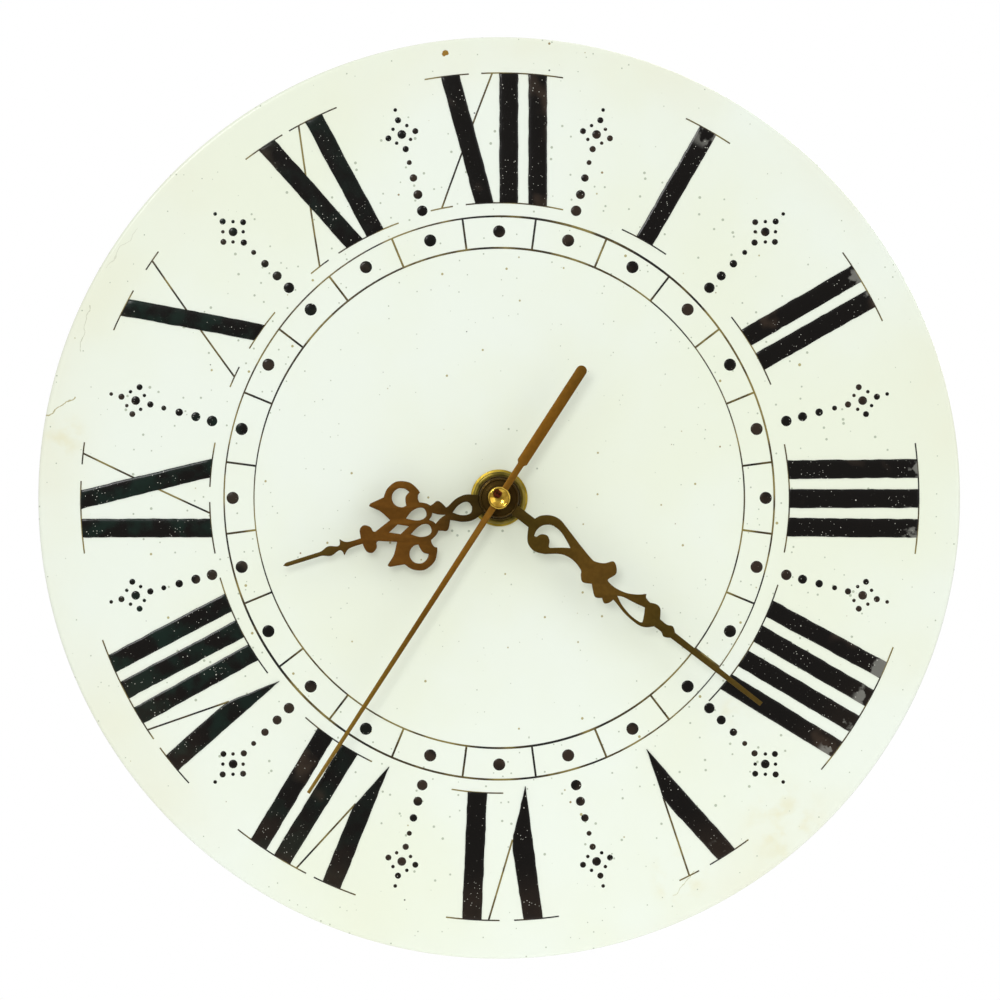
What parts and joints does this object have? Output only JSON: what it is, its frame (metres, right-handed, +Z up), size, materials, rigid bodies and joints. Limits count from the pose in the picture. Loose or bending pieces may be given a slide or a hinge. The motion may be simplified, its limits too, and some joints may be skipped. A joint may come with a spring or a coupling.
{
  "type": "wall clock",
  "caption": "Frameless wall clock: domed white enamel dial with raised Roman numerals, pierced bronze hands and a battery quartz movement with its gear train behind it.",
  "frame": {"origin": "on the hand axis, in the plane of the wall: the back face of the movement's rear cover", "axes": "+Y from the dial into the wall, +Z up towards the twelve, +X towards the three"},
  "size_m": [0.225, 0.033, 0.225],
  "materials": {
    "white_enamel": "glossy vitreous enamel with raised black glaze numerals",
    "brass": "satin",
    "aged_brass": "aged satin",
    "polished_brass": "polished",
    "hour_bronze": "red-brown patina",
    "minute_bronze": "olive-brown patina",
    "second_bronze": "golden-brown patina",
    "rubber": "matte",
    "zinc_steel": "bright zinc",
    "spring_steel": "nickel plated",
    "soft_iron": "matte",
    "black_plastic": "fine moulded grain",
    "grey_plastic": "satin",
    "white_plastic": "satin",
    "copper_wire": "enamelled copper wire",
    "green_board": "solder mask",
    "black_resin": "glossy resin",
    "dark_magnet": "sintered",
    "cell_jacket": "plain printed jacket"
  },
  "bodies": {
    "clock_body": {"dial": "white_enamel", "threaded_bush": "brass", "brass_washer": "brass", "mounting_nut": "aged_brass", "rubber_gasket": "rubber", "hanger_plate": "zinc_steel", "front_case": "black_plastic", "rear_cover": "black_plastic", "middle_plate": "grey_plastic", "train_bridge": "grey_plastic", "stator": "soft_iron", "coil_bobbin": "white_plastic", "coil_winding": "copper_wire", "coil_core": "soft_iron", "circuit_board": "green_board", "chip_cover": "black_resin", "quartz_crystal": "zinc_steel", "positive_contact": "spring_steel", "negative_contact": "spring_steel"},
    "hour_hand_set": {"hour_hand": "hour_bronze", "hour_hand_collet": "brass", "hour_wheel": "brass"},
    "minute_hand_set": {"minute_hand": "minute_bronze", "minute_hand_collet": "brass", "minute_arbor": "brass"},
    "second_hand_set": {"second_hand": "second_bronze", "second_hand_hub": "polished_brass", "second_wheel": "white_plastic"},
    "minute_wheel_set": {"minute_wheel": "white_plastic"},
    "setting_knob_set": {"setting_arbor": "white_plastic", "setting_knob": "black_plastic"},
    "centre_wheel_set": {"centre_wheel": "brass"},
    "third_wheel_set": {"third_wheel": "white_plastic"},
    "fifth_wheel_set": {"fifth_wheel": "white_plastic"},
    "rotor_set": {"rotor_pinion": "white_plastic", "rotor_magnet": "dark_magnet"},
    "battery_set": {"battery_cell": "cell_jacket"}
  },
  "joints": [
    {"name": "minute_hand_turn", "type": "hinge", "parent": "clock_body", "child": "minute_hand_set", "pos_m": [0, 0, 0], "axis": [0, 1, 0], "continuous": true},
    {"name": "hour_hand_turn", "type": "hinge", "parent": "clock_body", "child": "hour_hand_set", "pos_m": [0, 0, 0], "axis": [0, 1, 0], "continuous": true},
    {"name": "minute_wheel_turn", "type": "hinge", "parent": "clock_body", "child": "minute_wheel_set", "pos_m": [0.00945, 0, -0.00167], "axis": [0, 1, 0], "continuous": true},
    {"name": "setting_knob_turn", "type": "hinge", "parent": "clock_body", "child": "setting_knob_set", "pos_m": [0.01846, 0, -0.00498], "axis": [0, 1, 0], "continuous": true},
    {"name": "second_hand_turn", "type": "hinge", "parent": "clock_body", "child": "second_hand_set", "pos_m": [0, 0, 0], "axis": [0, 1, 0], "continuous": true},
    {"name": "centre_wheel_turn", "type": "hinge", "parent": "clock_body", "child": "centre_wheel_set", "pos_m": [0, 0, 0], "axis": [0, 1, 0], "continuous": true},
    {"name": "third_wheel_turn", "type": "hinge", "parent": "clock_body", "child": "third_wheel_set", "pos_m": [0.00935, 0, 0.0054], "axis": [0, 1, 0], "continuous": true},
    {"name": "fifth_wheel_turn", "type": "hinge", "parent": "clock_body", "child": "fifth_wheel_set", "pos_m": [-0.00551, 0, 0.00786], "axis": [0, 1, 0], "continuous": true},
    {"name": "rotor_turn", "type": "hinge", "parent": "clock_body", "child": "rotor_set", "pos_m": [-0.01425, 0, 0.00343], "axis": [0, 1, 0], "continuous": true},
    {"name": "battery_slide", "type": "slide", "parent": "clock_body", "child": "battery_set", "axis": [0, 1, 0], "range_m": [0, 0.02]}
  ],
  "couplings": [
    {"joint": "hour_hand_turn", "follows": "minute_hand_turn", "ratio": 0.083333},
    {"joint": "minute_wheel_turn", "follows": "minute_hand_turn", "ratio": -0.33333},
    {"joint": "setting_knob_turn", "follows": "minute_hand_turn", "ratio": 1},
    {"joint": "fifth_wheel_turn", "follows": "second_hand_turn", "ratio": -5},
    {"joint": "rotor_turn", "follows": "second_hand_turn", "ratio": 30},
    {"joint": "third_wheel_turn", "follows": "second_hand_turn", "ratio": -0.13333},
    {"joint": "centre_wheel_turn", "follows": "second_hand_turn", "ratio": 0.016667}
  ]
}
